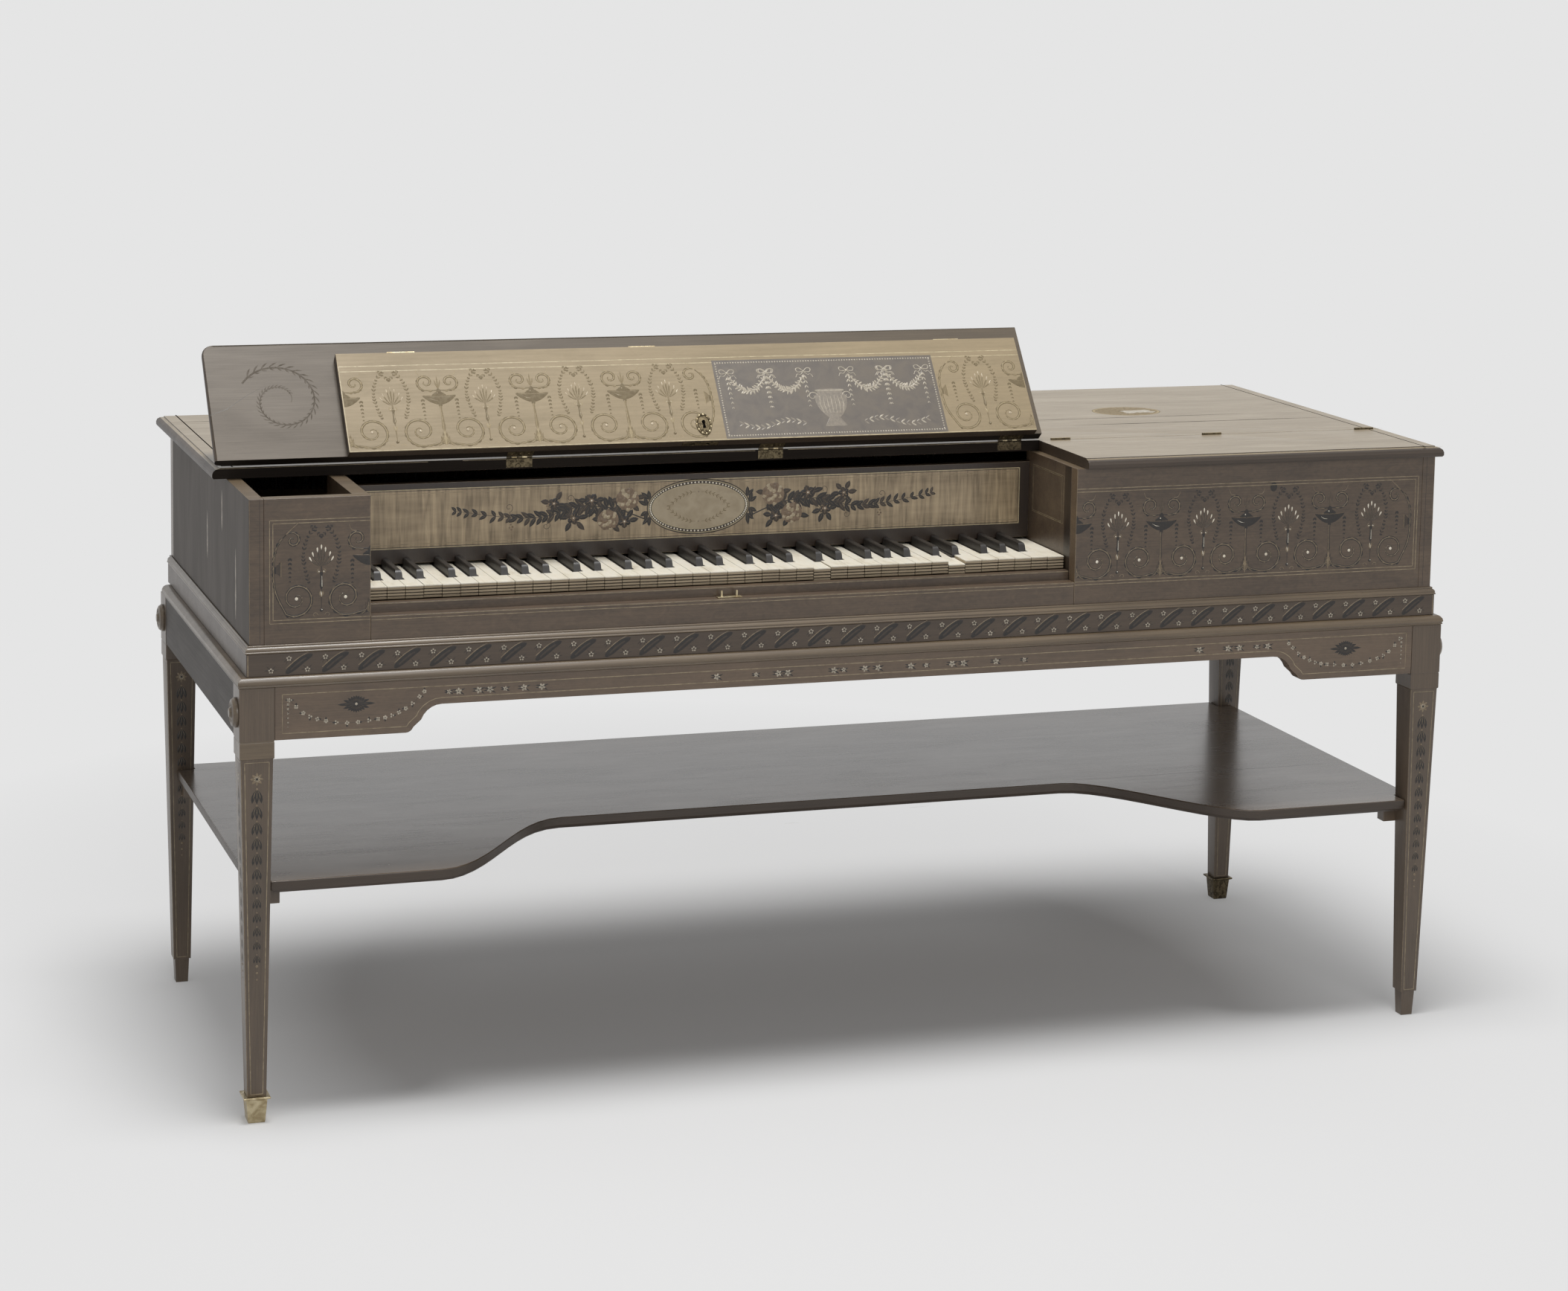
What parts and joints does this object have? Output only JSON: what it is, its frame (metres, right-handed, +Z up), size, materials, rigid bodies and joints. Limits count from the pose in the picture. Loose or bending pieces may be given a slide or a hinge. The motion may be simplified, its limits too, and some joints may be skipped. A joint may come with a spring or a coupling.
{
  "type": "square piano",
  "caption": "Long rectangular keyboard case on a four-legged stand, with hinged lid, flap, leaf and lock board, a keywell left of centre, and a low shelf.",
  "frame": {"origin": "on the floor under the middle of the bounding box", "axes": "+X along the length from bass to treble, +Y from the player to the spine, +Z up"},
  "size_m": [1.6466, 0.642, 0.9322],
  "materials": {
    "satinwood": "polished, inlaid",
    "case_wood": "polished, inlaid",
    "stand_wood": "polished",
    "oak": "planed",
    "spruce": "planed",
    "beech": "planed",
    "ivory": "thin ivory facing on wood",
    "ebony": "polished black wood",
    "brass": "aged, worn"
  },
  "bodies": {
    "case_and_stand": {"nameboard": "satinwood", "spine": "case_wood", "case_left_end": "case_wood", "case_right_end": "case_wood", "front_left_panel": "case_wood", "front_right_panel": "case_wood", "base_rail": "case_wood", "cheek_left": "case_wood", "cheek_right": "case_wood", "case_moulding": "case_wood", "case_plinth": "case_wood", "leg_front_left": "stand_wood", "leg_front_right": "stand_wood", "leg_rear_left": "stand_wood", "leg_rear_right": "stand_wood", "front_apron": "stand_wood", "rail_left": "stand_wood", "rail_right": "stand_wood", "rail_rear": "stand_wood", "stand_moulding": "stand_wood", "shelf": "stand_wood", "rosette_front_left": "stand_wood", "rosette_front_right": "stand_wood", "rosette_rear_left": "stand_wood", "rosette_rear_right": "stand_wood", "bottom_board": "oak", "belly_rail": "oak", "key_frame": "oak", "soundboard": "spruce", "hitch_rail": "beech", "bridge": "beech", "wrest_plank": "beech", "hammer_rail": "beech", "damper_rail": "beech", "ferrule_front_left": "brass", "ferrule_rear_right": "brass", "lock_catch": "brass"},
    "lid": {"lid_main": "satinwood", "flap_hinge_1": "brass", "flap_hinge_2": "brass", "flap_hinge_3": "brass"},
    "flap": {"lid_flap": "satinwood"},
    "leaf": {"lid_leaf": "satinwood"},
    "lock_board": {"lock_board": "satinwood", "lock": "brass", "escutcheon": "brass"},
    "key_bank": {"key_bank": "ivory"},
    "key_c": {"key_c": "ivory"},
    "key_c_sharp": {"key_c_sharp": "ebony"},
    "key_d": {"key_d": "ivory"},
    "key_d_sharp": {"key_d_sharp": "ebony"},
    "key_e": {"key_e": "ivory"},
    "key_f": {"key_f": "ivory"},
    "key_f_sharp": {"key_f_sharp": "ebony"},
    "key_g": {"key_g": "ivory"},
    "key_g_sharp": {"key_g_sharp": "ebony"},
    "key_a": {"key_a": "ivory"},
    "key_a_sharp": {"key_a_sharp": "ebony"},
    "key_b": {"key_b": "ivory"},
    "key_top_c": {"key_top_c": "ivory"}
  },
  "joints": [
    {"name": "lid_hinge", "type": "hinge", "parent": "case_and_stand", "child": "lid", "pos_m": [0, 0.3125, 0.7765], "axis": [-1, 0, 0], "range_deg": [0, 95]},
    {"name": "flap_hinge", "type": "hinge", "parent": "lid", "child": "flap", "pos_m": [0.55, -0.151, 0.7918], "axis": [-1, 0, 0], "range_deg": [0, 175]},
    {"name": "leaf_hinge", "type": "hinge", "parent": "lid", "child": "leaf", "pos_m": [-0.3, -0.151, 0.7918], "axis": [-1, 0, 0], "range_deg": [-128.5, 50]},
    {"name": "lock_board_hinge", "type": "hinge", "parent": "leaf", "child": "lock_board", "pos_m": [0, -0.07388, 0.91382], "axis": [-1, 0, 0], "range_deg": [0, 90]},
    {"name": "key_bank_balance", "type": "hinge", "parent": "case_and_stand", "child": "key_bank", "pos_m": [-0.2, -0.1035, 0.6404], "axis": [1, 0, 0], "range_deg": [0, 2.67], "stiffness_Nm_per_rad": 60, "springref_deg": -3.44},
    {"name": "key_c_balance", "type": "hinge", "parent": "case_and_stand", "child": "key_c", "pos_m": [0.15, -0.1035, 0.6404], "axis": [1, 0, 0], "range_deg": [0, 2.67], "stiffness_Nm_per_rad": 2, "springref_deg": -2.86},
    {"name": "key_c_sharp_balance", "type": "hinge", "parent": "case_and_stand", "child": "key_c_sharp", "pos_m": [0.15, -0.1035, 0.6404], "axis": [1, 0, 0], "range_deg": [0, 2.67], "stiffness_Nm_per_rad": 2, "springref_deg": -2.86},
    {"name": "key_d_balance", "type": "hinge", "parent": "case_and_stand", "child": "key_d", "pos_m": [0.15, -0.1035, 0.6404], "axis": [1, 0, 0], "range_deg": [0, 1], "stiffness_Nm_per_rad": 2, "springref_deg": -2.86},
    {"name": "key_d_sharp_balance", "type": "hinge", "parent": "case_and_stand", "child": "key_d_sharp", "pos_m": [0.15, -0.1035, 0.6404], "axis": [1, 0, 0], "range_deg": [0, 2.67], "stiffness_Nm_per_rad": 2, "springref_deg": -2.86},
    {"name": "key_e_balance", "type": "hinge", "parent": "case_and_stand", "child": "key_e", "pos_m": [0.15, -0.1035, 0.6404], "axis": [1, 0, 0], "range_deg": [0, 2.67], "stiffness_Nm_per_rad": 2, "springref_deg": -2.86},
    {"name": "key_f_balance", "type": "hinge", "parent": "case_and_stand", "child": "key_f", "pos_m": [0.15, -0.1035, 0.6404], "axis": [1, 0, 0], "range_deg": [0, 2.67], "stiffness_Nm_per_rad": 2, "springref_deg": -2.86},
    {"name": "key_f_sharp_balance", "type": "hinge", "parent": "case_and_stand", "child": "key_f_sharp", "pos_m": [0.15, -0.1035, 0.6404], "axis": [1, 0, 0], "range_deg": [0, 2.67], "stiffness_Nm_per_rad": 2, "springref_deg": -2.86},
    {"name": "key_g_balance", "type": "hinge", "parent": "case_and_stand", "child": "key_g", "pos_m": [0.15, -0.1035, 0.6404], "axis": [1, 0, 0], "range_deg": [0, 2.67], "stiffness_Nm_per_rad": 2, "springref_deg": -2.86},
    {"name": "key_g_sharp_balance", "type": "hinge", "parent": "case_and_stand", "child": "key_g_sharp", "pos_m": [0.15, -0.1035, 0.6404], "axis": [1, 0, 0], "range_deg": [0, 2.67], "stiffness_Nm_per_rad": 2, "springref_deg": -2.86},
    {"name": "key_a_balance", "type": "hinge", "parent": "case_and_stand", "child": "key_a", "pos_m": [0.15, -0.1035, 0.6404], "axis": [1, 0, 0], "range_deg": [0, 2.67], "stiffness_Nm_per_rad": 2, "springref_deg": -2.86},
    {"name": "key_a_sharp_balance", "type": "hinge", "parent": "case_and_stand", "child": "key_a_sharp", "pos_m": [0.15, -0.1035, 0.6404], "axis": [1, 0, 0], "range_deg": [0, 2.67], "stiffness_Nm_per_rad": 2, "springref_deg": -2.86},
    {"name": "key_b_balance", "type": "hinge", "parent": "case_and_stand", "child": "key_b", "pos_m": [0.15, -0.1035, 0.6404], "axis": [1, 0, 0], "range_deg": [0, 2.67], "stiffness_Nm_per_rad": 2, "springref_deg": -2.86},
    {"name": "key_top_c_balance", "type": "hinge", "parent": "case_and_stand", "child": "key_top_c", "pos_m": [0.15, -0.1035, 0.6404], "axis": [1, 0, 0], "range_deg": [0, 2.67], "stiffness_Nm_per_rad": 2, "springref_deg": -2.86}
  ]
}
